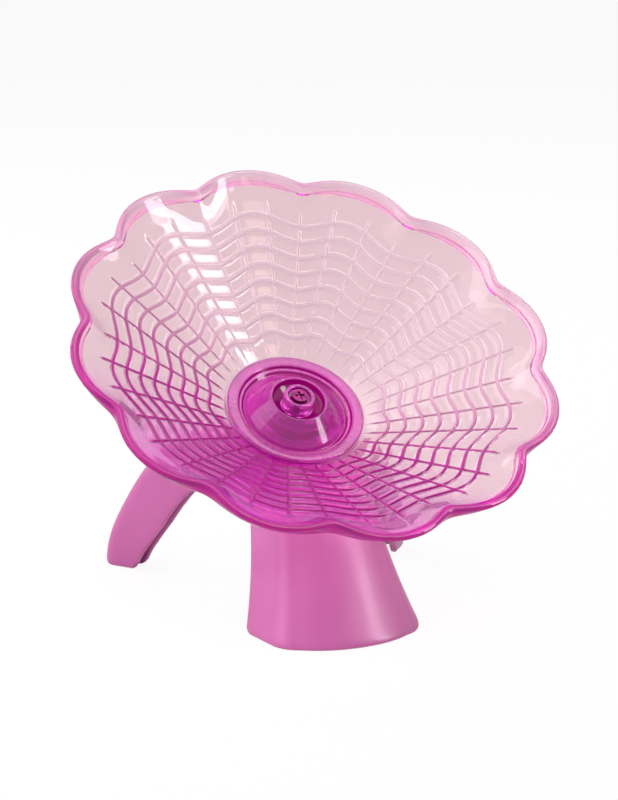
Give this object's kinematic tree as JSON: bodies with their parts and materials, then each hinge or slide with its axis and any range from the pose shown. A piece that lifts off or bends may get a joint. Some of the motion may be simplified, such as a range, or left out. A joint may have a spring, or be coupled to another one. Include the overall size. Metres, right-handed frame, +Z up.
{
  "type": "flying saucer wheel",
  "caption": "Free-standing saucer wheel for a small pet: a tilted dish with a petalled rim and ribbed web spins on a fixed axle over a hollow three-legged stand.",
  "frame": {"origin": "centre of the bounding box on the floor that the stand's feet rest on", "axes": "+Z up, -Y the way the tilted dish faces, +X to the right seen from the front"},
  "size_m": [0.18, 0.1622, 0.1528],
  "materials": {
    "dish_plastic": "clear pink moulded polystyrene",
    "hub_plastic": "clear magenta moulded polystyrene",
    "stand_plastic": "glossy pink moulded plastic",
    "shaft_steel": "turned steel",
    "screw_steel": "plated steel",
    "bearing_steel": "ground bearing steel",
    "cage_steel": "pressed sheet steel"
  },
  "bodies": {
    "stand": {"stand_shell": "stand_plastic", "axle": "shaft_steel", "axle_nut": "shaft_steel", "axle_rear_washer": "shaft_steel", "axle_front_washer": "shaft_steel", "bearing_spacer": "shaft_steel", "front_bearing_inner_ring": "bearing_steel", "rear_bearing_inner_ring": "bearing_steel", "axle_cap": "hub_plastic", "cap_screw": "hub_plastic"},
    "dish": {"running_dish": "dish_plastic", "hub_cone": "hub_plastic", "bearing_retainer": "hub_plastic", "retainer_screws": "screw_steel", "front_bearing_outer_ring": "bearing_steel", "rear_bearing_outer_ring": "bearing_steel", "front_bearing_shields": "cage_steel", "rear_bearing_shields": "cage_steel"},
    "front_cage": {"front_bearing_cage": "cage_steel", "front_bearing_balls": "bearing_steel"},
    "rear_cage": {"rear_bearing_cage": "cage_steel", "rear_bearing_balls": "bearing_steel"}
  },
  "joints": [
    {"name": "dish_spin", "type": "hinge", "parent": "stand", "child": "dish", "pos_m": [0, -0.00667, 0.1], "axis": [0, -0.5736, 0.8192], "continuous": true},
    {"name": "front_cage_spin", "type": "hinge", "parent": "stand", "child": "front_cage", "pos_m": [0, -0.00667, 0.1], "axis": [0, -0.5736, 0.8192], "continuous": true},
    {"name": "rear_cage_spin", "type": "hinge", "parent": "stand", "child": "rear_cage", "pos_m": [0, -0.00667, 0.1], "axis": [0, -0.5736, 0.8192], "continuous": true}
  ],
  "couplings": [
    {"joint": "front_cage_spin", "follows": "dish_spin", "ratio": 0.65217},
    {"joint": "rear_cage_spin", "follows": "dish_spin", "ratio": 0.65217}
  ]
}
